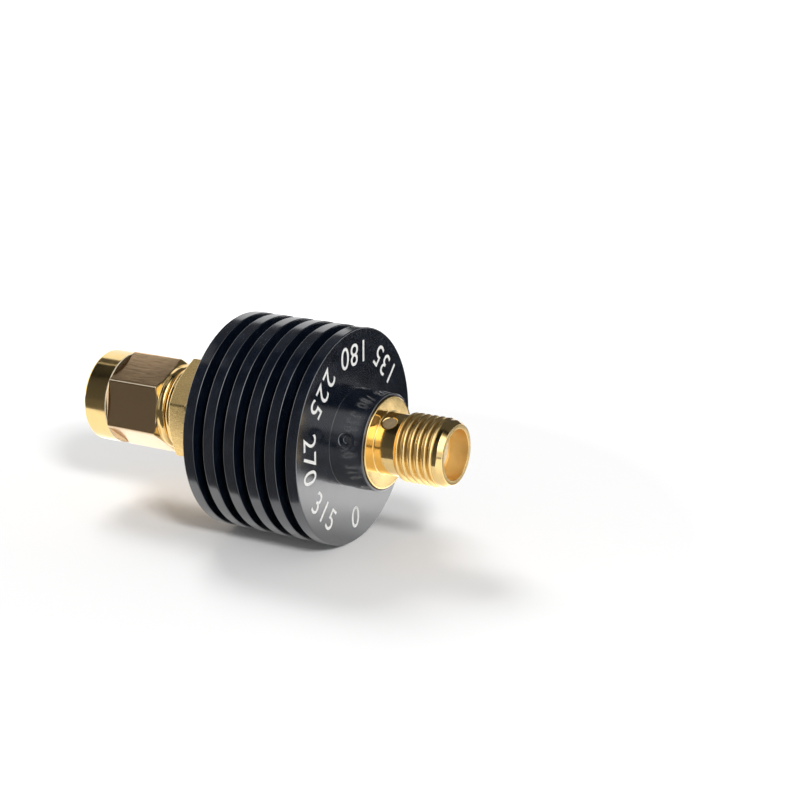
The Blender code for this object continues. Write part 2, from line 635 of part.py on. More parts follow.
def chip_carrier(name, side, parts, cutters, brass):
    """Half of a round block: it clamps the chip's long edges and leaves a channel over its middle."""
    half = STUB_END_FROM_MIDDLE - CARRIER_SETBACK
    carrier = rod(name, CARRIER_RADIUS, X_MIDDLE - half, X_MIDDLE + half, parts, brass)
    channel = rod(name + "_channel", CHIP_CHANNEL_RADIUS, X_MIDDLE - half - MM, X_MIDDLE + half + MM,
                  cutters, steps=SMALL_STEPS)
    wide = 3 * CARRIER_RADIUS
    other_half = box(name + "_other_half", (3 * half, wide, wide),
                     (X_MIDDLE, 0, -side * (wide / 2 - SEAT / 2)), cutters)
    pocket = box(name + "_pocket", (CHIP_LENGTH + 2 * SEAT, CHIP_WIDTH + 2 * SEAT, CHIP_THICK + 2 * SEAT),
                 (X_MIDDLE, 0, 0), cutters)
    boolean(carrier, other_half)
    boolean(carrier, channel)
    boolean(carrier, pocket)


def main():
    clear_scene()
    parts = collection("rf_attenuator")
    cutters = collection("cutters")
    gold_nut = material("gold_plate_nut", (0.80, 0.56, 0.22), 1.0, 0.25)
    gold_body = material("gold_plate_body", (0.82, 0.58, 0.23), 1.0, 0.22)
    gold_contact = material("gold_plate_contact", (0.85, 0.62, 0.26), 1.0, 0.20)
    bronze = material("phosphor_bronze", (0.55, 0.32, 0.16), 1.0, 0.35)
    rubber = material("silicone_rubber", (0.35, 0.05, 0.03), 0.0, 0.60)
    ptfe = material("ptfe", (0.85, 0.85, 0.83), 0.0, 0.40)
    epoxy = material("epoxy", (0.42, 0.36, 0.26), 0.0, 0.50)
    anodised = material("black_anodised_aluminium", (0.010, 0.012, 0.022), 0.6, 0.25)
    brass = material("brass", (0.62, 0.43, 0.17), 1.0, 0.35)
    alumina = material("alumina", (0.80, 0.80, 0.76), 0.0, 0.55)
    coupling_nut(parts, cutters, gold_nut)
    nut_retaining_ring(parts, cutters, bronze)
    nut_gasket(parts, rubber)
    male_body(parts, cutters, gold_body)
    male_insulator(parts, cutters, ptfe)
    male_center_pin(parts, gold_contact)
    epoxy_fill("male_epoxy", X_CAPTIVE, CAPTIVE_RADIUS, BARREL_RADIUS - EPOXY_SUNK, EPOXY_TURN, False,
               parts, cutters, epoxy)
    heat_sink(parts, cutters, anodised)
    female_body(parts, cutters, gold_body)
    female_insulator(parts, cutters, ptfe)
    female_contact(parts, cutters, gold_contact)
    epoxy_fill("female_epoxy", X_EPOXY, EPOXY_RADIUS, NECK_RADIUS - EPOXY_SUNK, EPOXY_TURN, True,
               parts, cutters, epoxy)
    attenuator_chip(parts, alumina)
    for side, where in ((-1, "input"), (1, "output")):
        chip_contact(where + "_chip_contact", side, parts, cutters, gold_contact)
    for side, where in ((1, "upper"), (-1, "lower")):
        chip_carrier("chip_carrier_" + where, side, parts, cutters, brass)
    settle(parts)


main()
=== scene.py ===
"""Looks of a coaxial attenuator: gold-plated plug and jack on a black anodised, finned heat sink.

Metres, +Z up. The part's axis is the X axis, with the plug at -X and the jack at +X.
An angle round the axis starts straight down and goes towards the back (+Y).
"""

import math

import bpy
import numpy as np
from bpy.props import FloatProperty, FloatVectorProperty, IntProperty, PointerProperty
from mathutils import Matrix, Vector


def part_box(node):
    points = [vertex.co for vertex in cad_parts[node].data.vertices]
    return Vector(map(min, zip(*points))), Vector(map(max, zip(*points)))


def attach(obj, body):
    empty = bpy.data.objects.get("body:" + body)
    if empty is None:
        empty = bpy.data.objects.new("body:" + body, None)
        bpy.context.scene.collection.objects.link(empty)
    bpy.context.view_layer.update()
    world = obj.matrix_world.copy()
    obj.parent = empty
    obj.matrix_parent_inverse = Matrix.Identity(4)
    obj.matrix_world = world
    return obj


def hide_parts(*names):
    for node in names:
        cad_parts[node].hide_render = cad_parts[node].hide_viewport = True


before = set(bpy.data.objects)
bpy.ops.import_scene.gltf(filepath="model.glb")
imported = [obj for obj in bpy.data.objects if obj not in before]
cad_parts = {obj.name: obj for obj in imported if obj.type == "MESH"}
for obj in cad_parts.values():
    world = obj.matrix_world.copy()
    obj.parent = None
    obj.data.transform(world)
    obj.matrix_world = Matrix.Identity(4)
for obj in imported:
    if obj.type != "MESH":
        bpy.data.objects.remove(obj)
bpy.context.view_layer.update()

bl_info = {
    "name": "Coaxial attenuator",
    "version": (1, 0, 0),
    "blender": (4, 5, 0),
    "location": "View3D > Sidebar > Attenuator",
    "description": "Builds the finished surfaces of a coaxial attenuator round its fixed frame",
    "category": "Object",
}

MM = 0.001
AHEAD = np.array((1.0, 0.0, 0.0))
DOWN = np.array((0.0, 0.0, -1.0))
BACK = np.array((0.0, 1.0, 0.0))
CHAMFER = math.tan(math.radians(30))


def hex_colour(code):
    """sRGB hex to linear red, green and blue."""
    parts = [int(code[i:i + 2], 16) / 255 for i in (1, 3, 5)]
    return tuple(c / 12.92 if c <= 0.04045 else ((c + 0.055) / 1.055) ** 2.4 for c in parts)


def length(name, description, millimetres):
    return FloatProperty(name=name, description=description, default=millimetres * MM,
                         unit="LENGTH", precision=6)


def turn(name, description, degrees):
    return FloatProperty(name=name, description=description, default=math.radians(degrees), subtype="ANGLE")


def number(name, description, value):
    return FloatProperty(name=name, description=description, default=value)


def colour(name, description, code):
    return FloatVectorProperty(name=name, description=description, default=hex_colour(code),
                               subtype="COLOR", min=0, max=1)


def node_span(name):
    low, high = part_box(name)
    return low.x, high.x


NUT_FRONT, NUT_REAR = node_span("coupling_nut")
PLUG_FRONT, PLUG_REAR = node_span("male_body")
SINK_REAR, SINK_FRONT = node_span("heat_sink")
JACK_REAR, JACK_RIM = node_span("female_body")
PIN_TIP, PIN_REAR = node_span("male_center_pin")
GASKET_FRONT, GASKET_REAR = node_span("nut_gasket")
EPOXY_MIDDLE = sum(node_span("female_epoxy")) / 2
CHIP_MIDDLE = sum(node_span("attenuator_chip")) / 2


class SinkSizes(bpy.types.PropertyGroup):
    fins: IntProperty(name="Fins", description="Number of fins", default=6, min=1)
    fin_radius: length("Fin radius", "From the axis to a fin's rim", 10.08)
    fin_thick: length("Fin thickness", "Along the axis", 1.12)
    fin_gap: length("Fin gap", "Between two fins", 1.06)
    fin_edge: length("Fin edge", "Rounding of a fin's edges", 0.08)
    core_radius: length("Core radius", "Bottom of the grooves between fins", 5.60)
    rear_boss_radius: length("Rear boss radius", "Boss beside the plug's flange", 5.00)
    rear_boss_length: length("Rear boss length", "Along the axis", 3.14)
    front_boss_radius: length("Front boss radius", "Boss round the jack's disc", 4.53)
    disc_seat_radius: length("Disc seat radius", "Counterbore round the jack's disc", 4.31)
    disc_seat_depth: length("Disc seat depth", "Depth of that counterbore", 0.61)
    stub_bore_radius: length("Stub bore radius", "Bores for the stubs of plug and jack", 3.45)
    core_bore_radius: length("Core bore radius", "Bore round the chip carriers", 3.00)
    core_bore_half: length("Core bore half length", "From the middle of the chip", 4.60)
    boss_edge: length("Boss edge", "Bevel of the bosses' ends", 0.10)
    stakes: IntProperty(name="Stakes", description="Punched dimples in the front boss", default=4, min=0)
    stake_radius: length("Stake radius", "Radius of a dimple at its mouth", 0.70)
    stake_floor: length("Stake floor radius", "Radius of a dimple at its floor", 0.38)
    stake_depth: length("Stake depth", "Depth of a dimple", 0.50)
    stake_from_front: length("Stake place", "Behind the boss's front face", 1.85)
    stake_turn: turn("Stake angle", "Of the first dimple", -15.3)


class PlugSizes(bpy.types.PropertyGroup):
    flats: length("Nut flats", "Across the coupling nut's flats", 7.94)
    turn: turn("Nut angle", "Of one of its corners", -7.6)
    collar_radius: length("Collar radius", "Round front end of the nut", 4.40)
    collar_length: length("Collar length", "Along the axis", 2.74)
    collar_edge: length("Collar edge", "Bevel of its front", 0.25)
    hex_length: length("Hexagon length", "Along the axis", 5.71)
    lip_radius: length("Lip radius", "Turned rear lip of the nut", 4.05)
    flange_flats: length("Flange flats", "Across the body's flange", 9.28)
    flange_turn: turn("Flange angle", "Of one of its corners", 9.2)
    flange_length: length("Flange length", "Along the axis", 2.30)
    shoulder_radius: length("Shoulder radius", "Turned ring in front of the flange", 4.15)
    shoulder_length: length("Shoulder length", "Along the axis", 0.80)
    barrel_radius: length("Barrel radius", "Body inside the nut", 3.05)
    ferrule_radius: length("Ferrule radius", "Tube that enters the mating jack", 2.29)
    stub_radius: length("Stub radius", "Body inside the heat sink", 3.40)
    bore_radius: length("Bore radius", "Bore round the insulator", 2.10)
    ring_place: length("Ring place", "Retaining ring in front of the nut's rear end", 2.05)
    ring_groove: length("Ring groove half width", "In the barrel", 0.425)


class JackSizes(bpy.types.PropertyGroup):
    pitch: length("Thread pitch", "36 turns to the inch", 0.7056)
    major: length("Thread major radius", "Over the crests", 3.175)
    depth: length("Thread depth", "Crest to root", 0.40)
    thread_length: length("Thread length", "Along the axis", 3.50)
    lead_radius: length("Lead radius", "Plain band in front of the thread", 3.05)
    lead_length: length("Lead length", "Along the axis", 0.50)
    rim_radius: length("Rim radius", "Outer edge of the front face", 2.76)
    rim_length: length("Rim bevel length", "Along the axis", 0.49)
    bore_radius: length("Mouth radius", "Bore in front of the insulator", 2.34)
    bore_depth: length("Mouth depth", "Depth of that bore", 1.90)
    cone_length: length("Neck cone length", "Between neck and thread", 0.34)
    neck_radius: length("Neck radius", "Plain neck", 2.85)
    neck_length: length("Neck length", "Along the axis", 2.09)
    disc_radius: length("Disc radius", "Disc set in the heat sink", 4.26)
    disc_thick: length("Disc thickness", "Along the axis", 0.72)
    epoxy_radius: length("Epoxy hole radius", "Cross hole in the neck", 0.65)
    epoxy_turn: turn("Epoxy angle", "Of the cross hole", 30.0)


class FinishColours(bpy.types.PropertyGroup):
    gold: colour("Gold plate", "Turned surfaces of plug and jack", "#F3D290")
    gold_milled: colour("Milled gold plate", "Wrench flats", "#E6C49A")
    anodised: colour("Anodised aluminium", "Heat sink", "#080F1A")
    marking: colour("Marking", "Dial numbers on the front fin", "#F1F1EE")
    epoxy: colour("Epoxy", "Fill of the cross holes", "#85755A")
    ptfe: colour("PTFE", "Insulators", "#EEE4CC")
    rubber: colour("Silicone rubber", "Gasket", "#A23A2C")
    # Pale edges of the nut: partly rubbed gold plate, partly a painted highlight.
    worn: colour("Worn gold plate", "Sharp edges of the coupling nut", "#E2D2B4")
    bare: colour("Bare aluminium", "Chips in the stakes", "#D5D9DE")
    bronze: colour("Phosphor bronze", "Retaining ring", "#A9713F")
    brass: colour("Brass", "Chip carriers", "#C6A356")
    alumina: colour("Alumina", "Attenuator chip", "#DEDDD2")


class StageSettings(bpy.types.PropertyGroup):
    azimuth: turn("Azimuth", "Of the camera", 29.3076)
    elevation: turn("Elevation", "Of the camera", 17.0417)
    distance: length("Distance", "From the camera to the heat sink", 180)
    lens: number("Lens", "Focal length in millimetres", 87.30)
    aside: length("Aside", "Camera shifted to its right", 9.36)
    above: length("Above", "Camera shifted upwards", 2.50)
    mirrored: number("Mirrored white", "Brightness of the white surroundings in mirrors", 1.15)
    mirrored_back: number("Mirrored back", "Brightness of the paper behind in mirrors", 2.3)
    mirrored_dark: number("Mirrored dark", "Brightness of the dark room in mirrors", 0.08)
    mirrored_lamp: number("Mirrored lamp", "Brightness of the main lamp in mirrors", 2.3)


def settings():
    scene = bpy.context.scene
    return scene.attenuator_sink, scene.attenuator_plug, scene.attenuator_jack, scene.attenuator_colours


def rounded(points, usual):
    """A closed line of (x, radius, fillet) corners with each corner cut by a quadratic curve.

    A corner without a fillet of its own has the usual one. The curve starts and ends a fillet's
    length from the corner, or a bit less than half an edge if that is less. One more point stands
    just outside each end, so that the flats keep their own shading.
    """
    corner = np.array([p[:2] for p in points], float)
    fillet = np.array([p[2] if len(p) > 2 else usual for p in points], float)

    def towards(neighbour, distance, most):
        edge = np.roll(corner, neighbour, axis=0) - corner
        reach = np.linalg.norm(edge, axis=1)
        return corner + edge * (np.minimum(distance, reach * most) / reach)[:, None]

    first, last = (towards(side, fillet, 0.45) for side in (1, -1))
    start, end = (towards(side, fillet * 1.3 + 0.01 * MM, 0.49) for side in (1, -1))
    t = np.linspace(0, 1, 4)[None, :, None]
    curve = (1 - t) ** 2 * first[:, None] + 2 * t * (1 - t) * corner[:, None] + t ** 2 * last[:, None]
    line = np.concatenate((start[:, None], curve, end[:, None]), axis=1).reshape(-1, 2)
    keep = np.linalg.norm(line - np.roll(line, 1, axis=0), axis=1) > 1e-8
    return line[keep]


def within(line, low, high, least=0.0, most=math.inf):
    """Which points of a line lie between two stations and two radii."""
    x, radius = line.T
    return (x > low) & (x < high) & (radius > least) & (radius < most)


def groove(middle, half, edge, floor):
    """The four corners of a groove, from the side at middle + half to the one at middle - half."""
    return [(middle + half, edge), (middle + half, floor), (middle - half, floor), (middle - half, edge)]


def refine(line, spacing, *limits, **radii):
    """Cuts each edge that lies within the limits into equal pieces no longer than the spacing."""
    ahead = np.roll(line, -1, axis=0)
    reach = np.linalg.norm(ahead - line, axis=1)
    chosen = within(line, *limits, **radii) & within(ahead, *limits, **radii)
    count = np.where(chosen, np.ceil(reach / spacing), 1).astype(int)
    start = np.repeat(line, count, axis=0)
    step = np.repeat((ahead - line) / count[:, None], count, axis=0)
    index = np.arange(count.sum()) - np.repeat(np.cumsum(count) - count, count)
    return start + step * index[:, None]


def nearest(theta, spots):
    """How far each angle is from the nearest spot."""
    return np.abs(np.angle(np.exp(1j * (theta[:, None] - spots[None])))).min(axis=1)


def angles(count, spots=(), reach=0.0, fine=0.01):
    """Angles of a full turn: an even ring, with finer ones near each spot."""
    even = np.arange(count) * 2 * math.pi / count
    if not len(spots):
        return even
    near = np.mod((spots[:, None] + np.arange(-reach, reach + fine / 2, fine)[None]).ravel(), 2 * math.pi)
    return np.unique(np.concatenate((even[nearest(even, spots) > reach + fine], near)).round(7))


def hexagon_angles(start):
    """Angles of a full turn, half a degree apart at a hexagon's corners and five in between."""
    near = np.array((0.5, 1, 1.6, 2.4, 3.6, 5.5, 8, 11, 15, 20, 25))
    sixth = np.concatenate(([0], near, [30], 60 - near[::-1]))
    return np.radians((np.arange(6)[:, None] * 60 + sixth[None]).ravel()) + start


def carried(line, theta):
    """Stations and radii of a closed line, carried round to each angle."""
    return line[:, :1] + 0 * theta[None], line[:, 1:] + 0 * theta[None]


def soft_min(a, b, width):
    """The lesser of two arrays, with the crossing rounded over the width."""
    part = np.clip(0.5 + 0.5 * (b - a) / width, 0, 1)
    return b * (1 - part) + a * part - width * part * (1 - part)


def hexagon(theta, flats, turn, width):
    """Radius of a hexagon with a corner at the angle turn, its corners rounded by the width.

    It is half the size across flats over the cosine of the angle from the nearest flat's middle.
    """
    lean = np.mod(theta - turn, math.pi / 3)
    one = flats / 2 / np.cos(lean - math.pi / 6)
    other = flats / 2 / np.cos(np.where(lean < math.pi / 6, lean + math.pi / 6, lean - math.pi / 2))
    return soft_min(one, np.maximum(other, one), width)


def milled(x, radius, theta, rows, across, start, rear, bevel, blend):
    """Cuts six flats into some rows of a turned surface, with a bevel at their rear end.

    The radius is the lesser of the turned one and the hexagon's, with the crossing rounded over
    the blend. The second array says which points lie on a flat.
    """
    corner_round = 0.10 * MM
    flat = hexagon(theta, across, start, corner_round)[None] - np.clip(x - rear + bevel, 0, bevel)
    flats = rows[:, None] & (flat < radius) & (x < rear - bevel + 0.02 * MM)
    return np.where(rows[:, None], soft_min(radius, flat, blend), radius), flats


def add_object(name, points, faces, *finishes):
    mesh = bpy.data.meshes.new(name)
    mesh.from_pydata(points, [], faces)
    for finish in finishes:
        mesh.materials.append(finish)
    item = bpy.data.objects.new(name, mesh)
    bpy.context.scene.collection.objects.link(item)
    return item


def to_mesh(name, points, faces, finish, others=(), where=None):
    """Makes an object of four-cornered faces, turned outwards if its volume comes out negative.

    Finishes are given by name. Each point has the number of one, where 0 is the first; a face takes
    its points' lowest.
    """
    volume = 0
    for corners in ((0, 1, 2), (0, 2, 3)):
        a, b, c = (points[faces[:, corner]] for corner in corners)
        volume += np.einsum("ij,ij->i", a, np.cross(b, c)).sum()
    if volume < 0:
        faces = faces[:, ::-1]
    outlines = [tuple(dict.fromkeys(face)) for face in faces.tolist()]
    item = add_object(name, points, outlines, *map(finish_named, (finish, *others)))
    if others:
        lowest = where.ravel()[faces].min(axis=1)
        item.data.polygons.foreach_set("material_index", lowest.astype(np.int32))
    item.data.shade_smooth()
    return item


def round_surface(name, along, radius, theta, finish, closed=True, centre=(0, 0, 0), axis=None, **parts):
    """A surface round an axis: each point is centre + axis * along + radius * (direction of theta).

    along and radius are arrays of stations by angles, or of stations alone. A closed line of
    stations makes a ring; an open one starts and ends on the axis, where it is one point.
    """
    stations = len(along)
    turns = len(theta)
    along = np.broadcast_to(np.reshape(along, (stations, -1)), (stations, turns))
    radius = np.broadcast_to(np.reshape(radius, (stations, -1)), (stations, turns))
    out, first, second = (AHEAD, DOWN, BACK) if axis is None else (axis, AHEAD, np.cross(axis, AHEAD))
    ring = np.cos(theta)[:, None] * first + np.sin(theta)[:, None] * second
    points = along[..., None] * out + radius[..., None] * ring[None] + np.array(centre, float)
    row = np.arange(stations if closed else stations - 1)[:, None] * turns
    ahead = (row + turns) % (stations * turns)
    here = np.arange(turns)[None, :]
    beside = (here + 1) % turns
    faces = np.stack((row + here, row + beside, ahead + beside, ahead + here), axis=-1).reshape(-1, 4)
    if not closed:
        pole = np.arange(stations * turns)
        pole[:turns] = 0
        pole[-turns:] = (stations - 1) * turns
        faces = pole[faces]
    return to_mesh(name, points.reshape(-1, 3), faces, finish, **parts)


def turned_ring(name, low, high, inner, outer, finish, inner_fillet, outer_fillet):
    """A ring of four rounded corners between two stations and two radii, turned about the axis."""
    line = rounded([(low, inner, inner_fillet), (low, outer, outer_fillet),
                    (high, outer, outer_fillet), (high, inner, inner_fillet)], inner_fillet)
    return round_surface(name, line[:, 0], line[:, 1], angles(72), finish)


def thread(x, theta, start, end, jack, crest, depth):
    """Radius of a thread with rounded crests and roots: one wave of a cosine to the pitch, its
    grooves narrowed by a power.

    The phase is how many pitches a point lies along a helix; the depth fades in at both ends.
    """
    narrowing = 1.4
    runout = 0.35 * jack.pitch
    phase = x / jack.pitch - theta / (2 * math.pi)
    form = (0.5 - 0.5 * np.cos(2 * math.pi * phase)) ** narrowing
    fade = np.clip(np.minimum(x - start, end - x) / runout, 0, 1)
    return crest - depth * form * fade


def connect(tree, node, values):
    """Fills a node's inputs by name or in their order, and links a socket or a node's first output."""
    for key, value in values.items() if isinstance(values, dict) else enumerate(values):
        if isinstance(value, bpy.types.Node):
            value = next(output for output in value.outputs if output.enabled)
        if isinstance(value, bpy.types.NodeSocket):
            tree.links.new(value, node.inputs[key])
        else:
            node.inputs[key].default_value = value


def add_node(tree, kind, values=(), **choices):
    """Adds a shader node with its settings and inputs."""
    made = tree.nodes.new("ShaderNode" + kind)
    for key, choice in choices.items():
        setattr(made, key, choice)
    connect(tree, made, values)
    return made


def new_material(name):
    made = bpy.data.materials.new(name)
    made.use_nodes = True
    tree = made.node_tree
    return made, tree, tree.nodes["Principled BSDF"], add_node(tree, "TexCoord").outputs["Object"]


def mottled(tree, pattern, low, high, most, tint, other):
    """A tint that goes towards another, by at most the given share, as the pattern goes from low to high."""
    share = add_node(tree, "MapRange", (pattern, low, high, 0.0, most))
    return add_node(tree, "Mix", {"Factor": share, "A": (*tint, 1), "B": (*other, 1)}, data_type="RGBA")


def gold_plate(name, tint, roughness, flats):
    """Gold plate over turned brass: warm metal, fine rings of tool marks, light wear and stains.

    Stains are about 1 mm across. Tool marks are about 0.05 mm apart, drawn as 0.12 mm so that they
    show. Milled flats have short streaks along the axis instead of rings.
    """
    made, tree, shader, coords = new_material(name)
    stain = add_node(tree, "TexNoise", {"Vector": coords, "Scale": 900.0, "Detail": 4.0, "Roughness": 0.6})
    drawn_out = (500.0, 6000.0, 6000.0) if flats else (8000.0, 500.0, 500.0)
    marks = add_node(tree, "Mapping", {"Vector": coords, "Scale": drawn_out})
    streak = add_node(tree, "TexNoise", {"Vector": marks, "Scale": 1.0, "Detail": 3.0, "Roughness": 0.65})
    dark = tuple(c * k for c, k in zip(tint, (0.80, 0.74, 0.62)))
    stained = add_node(tree, "MapRange", (stain, 0.35, 0.7, roughness, roughness * 1.4))
    scored = add_node(tree, "MapRange", (streak, 0.3, 0.8, 0.0, 0.06))
    rough = add_node(tree, "Math", (stained, scored), operation="ADD")
    bump = add_node(tree, "Bump", {"Height": streak, "Strength": 0.28 if flats else 0.15,
                                   "Distance": 0.02 * MM})
    connect(tree, shader, {"Base Color": mottled(tree, stain, 0.45, 0.75, 0.25, tint, dark),
                           "Roughness": rough, "Normal": bump, "Metallic": 1.0})
    return made


def black_anodised(tint):
    """Black anodised, turned aluminium: a hard glassy oxide film over dark navy, with faint tool rings.

    The haze of handling is in clouds of about 1.4 mm, and the rings are drawn 0.11 mm apart to show.
    """
    made, tree, shader, coords = new_material("anodised_film")
    haze = add_node(tree, "TexNoise", {"Vector": coords, "Scale": 700.0, "Detail": 5.0, "Roughness": 0.6})
    worn = tuple(min(1.0, c * 2.2 + 0.004) for c in tint)
    marks = add_node(tree, "Mapping", {"Vector": coords, "Scale": (9000.0, 400.0, 400.0)})
    rings = add_node(tree, "TexNoise", {"Vector": marks, "Scale": 1.0, "Detail": 2.0})
    rough = add_node(tree, "MapRange", (haze, 0.3, 0.75, 0.14, 0.22))
    bump = add_node(tree, "Bump", {"Height": rings, "Strength": 0.10, "Distance": 0.01 * MM})
    connect(tree, shader, {"Base Color": mottled(tree, haze, 0.45, 0.75, 0.6, tint, worn),
                           "Roughness": rough, "Normal": bump, "IOR": 2.15})
    return made


def plain_finish(name, tint, roughness, grain, relief, metallic):
    """A finish with a fine grain: the colour shifts a little and the surface is slightly uneven."""
    made, tree, shader, coords = new_material(name)
    speck = add_node(tree, "TexNoise", {"Vector": coords, "Scale": 1 / (grain * MM), "Detail": 4.0})
    deep = tuple(c * 0.72 for c in tint)
    bump = add_node(tree, "Bump", {"Height": speck, "Strength": 0.3, "Distance": relief * MM})
    connect(tree, shader, {"Base Color": mottled(tree, speck, 0.4, 0.7, 1.0, tint, deep),
                           "Roughness": roughness, "Normal": bump, "Metallic": metallic})
    return made


# Colour, roughness and milled or not: bright turned faces, scratched nut flats, duller flange flats,
# a thread that spreads its highlights, and a matt bore.
GOLD_PLATES = {
    "gold_plate_turned": ("gold", 0.10, False),
    "gold_plate_milled": ("gold_milled", 0.12, True),
    "gold_plate_satin": ("gold", 0.21, True),
    "gold_plate_cut": ("gold", 0.24, False),
    "gold_plate_bored": ("gold", 0.36, False),
}

# Colour, roughness, grain and relief in millimetres, and metallic: rubbed pale edges that also carry a
# painted highlight, bright chips, chalky marking, cloudy resin, waxy white, matt red, satin wire, plain
# brass and fine white ceramic.
PLAIN_FINISHES = {
    "gold_plate_worn": ("worn", 0.40, 0.20, 0.005, 0.3),
    "bare_aluminium": ("bare", 0.30, 0.10, 0.010, 1.0),
    "laser_marking": ("marking", 0.6, 0.10, 0.005, 0.0),
    "cured_epoxy": ("epoxy", 0.45, 0.25, 0.03, 0.0),
    "machined_ptfe": ("ptfe", 0.42, 0.40, 0.01, 0.0),
    "moulded_silicone": ("rubber", 0.55, 0.30, 0.01, 0.0),
    "drawn_bronze": ("bronze", 0.32, 0.20, 0.01, 1.0),
    "machined_brass": ("brass", 0.30, 0.20, 0.01, 1.0),
    "fired_alumina": ("alumina", 0.5, 0.08, 0.005, 0.0),
}


def finish_named(name):
    """Makes a finish the first time it is asked for."""
    if name in bpy.data.materials:
        return bpy.data.materials[name]
    tints = bpy.context.scene.attenuator_colours
    if name == "anodised_film":
        return black_anodised(tuple(tints.anodised))
    maker, table = (gold_plate, GOLD_PLATES) if name in GOLD_PLATES else (plain_finish, PLAIN_FINISHES)
    tint, *values = table[name]
    return maker(name, tuple(getattr(tints, tint)), *values)


def dress(piece, body, slot, *nodes):
    """Lets a piece ride on its body and stand for its nodes, which it hides. The slot argument is not used.
    """
    if nodes:
        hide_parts(*nodes)
    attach(piece, body)


class ATTENUATOR_OT_heat_sink(bpy.types.Operator):
    """Builds the heat sink as one turned surface with fins, bosses, stepped bore and four punched stakes"""
    bl_idname = "attenuator.heat_sink"
    bl_label = "Heat Sink"

    def execute(self, context):
        sink = settings()[0]
        pitch = sink.fin_thick + sink.fin_gap
        block_rear = SINK_REAR + sink.rear_boss_length
        block_front = block_rear + sink.fins * pitch - sink.fin_gap
        small = 0.03 * MM
        seat = SINK_FRONT - sink.disc_seat_depth
        fins = []
        for fin in range(sink.fins):
            front = block_front - fin * pitch
            rear = front - sink.fin_thick
            fins += [(front, sink.core_radius), (front, sink.fin_radius, sink.fin_edge),
                     (rear, sink.fin_radius, sink.fin_edge), (rear, sink.core_radius)]
        # The outer fins end on the bosses and not on the core.
        line = rounded([
            (SINK_FRONT, sink.front_boss_radius, sink.boss_edge),
            (block_front, sink.front_boss_radius),
            *fins[1:-1],
            (block_rear, sink.rear_boss_radius),
            (SINK_REAR, sink.rear_boss_radius, sink.boss_edge),
            (SINK_REAR, sink.stub_bore_radius),
            *groove(CHIP_MIDDLE, -sink.core_bore_half, sink.stub_bore_radius, sink.core_bore_radius),
            (seat, sink.stub_bore_radius),
            (seat, sink.disc_seat_radius),
            (SINK_FRONT, sink.disc_seat_radius),
        ], small)
        stake = SINK_FRONT - sink.stake_from_front
        reach = sink.stake_radius * 1.3
        line = refine(line, reach, block_front, SINK_FRONT, sink.disc_seat_radius)
        line = refine(line, 0.045 * MM, stake - 2 * reach, stake + 2 * reach, sink.disc_seat_radius)
        spots = np.mod(sink.stake_turn + angles(sink.stakes), 2 * math.pi)
        theta = angles(144, spots, reach / sink.front_boss_radius, math.radians(0.6))
        x, radius = carried(line, theta)
        away = np.hypot(x - stake, sink.front_boss_radius * nearest(theta, spots)[None])
        slope = np.clip((sink.stake_radius - away) / (sink.stake_radius - sink.stake_floor), 0, 1)
        dent = sink.stake_depth * slope * slope * (3 - 2 * slope)
        # The punch leaves a raised rim round each dimple, and a torn, partly chipped wall.
        raised = 0.035 * MM * np.exp(-((away - sink.stake_radius) / (0.13 * MM)) ** 2)
        torn = 0.03 * MM * slope * np.sin(x * 21000) * np.sin(theta[None] * 130 + x * 9000)
        on_boss = (radius > sink.front_boss_radius - 1e-7) & (x > block_front) & (radius < sink.core_radius)
        radius = radius - np.where(on_boss, dent - raised + torn, 0)
        chipped = on_boss & (slope > 0.3) & (np.sin(x * 41000) * np.sin(theta[None] * 190) > 0.25)
        piece = round_surface("heat_sink_turned", x, radius, theta, "anodised_film",
                              others=["bare_aluminium"], where=chipped.astype(int))
        dress(piece, "housing", "black_anodised_aluminium", "heat_sink")
        return {"FINISHED"}


class ATTENUATOR_OT_marking(bpy.types.Operator):
    """Marks the front fin's face with a plain dial: the degrees of a circle at each eighth of a turn"""
    bl_idname = "attenuator.marking"
    bl_label = "Dial Marking"

    def execute(self, context):
        sink = settings()[0]
        pitch = sink.fin_thick + sink.fin_gap
        face = SINK_REAR + sink.rear_boss_length + sink.fins * pitch - sink.fin_gap
        size = 2.95 * MM
        middle = 7.90 * MM
        lift = 0.004 * MM
        count = 8
        points, faces = [], []
        for index, start in enumerate(angles(count)):
            text = bpy.data.curves.new("dial_number", "FONT")
            text.body = str(index * 360 // count)
            text.size = size
            text.align_x = "CENTER"
            text.align_y = "CENTER"
            text.space_character = 1.10
            holder = bpy.data.objects.new("dial_number", text)
            context.scene.collection.objects.link(holder)
            context.view_layer.update()
            mesh = bpy.data.meshes.new_from_object(holder.evaluated_get(context.evaluated_depsgraph_get()))
            bpy.data.objects.remove(holder)
            flat = np.empty(len(mesh.vertices) * 3)
            mesh.vertices.foreach_get("co", flat)
            across, inward = flat.reshape(-1, 3).T[:2]
            radial = math.cos(start) * DOWN + math.sin(start) * BACK
            tangent = -math.sin(start) * DOWN + math.cos(start) * BACK
            place = (middle - inward)[:, None] * radial + across[:, None] * tangent
            place[:, 0] = face + lift
            first = sum(len(p) for p in points)
            points.append(place)
            faces += [[first + v for v in polygon.vertices] for polygon in mesh.polygons]
            bpy.data.meshes.remove(mesh)
        item = add_object("dial_marking", np.concatenate(points), faces, finish_named("laser_marking"))
        dress(item, "housing", "black_anodised_aluminium")
        return {"FINISHED"}


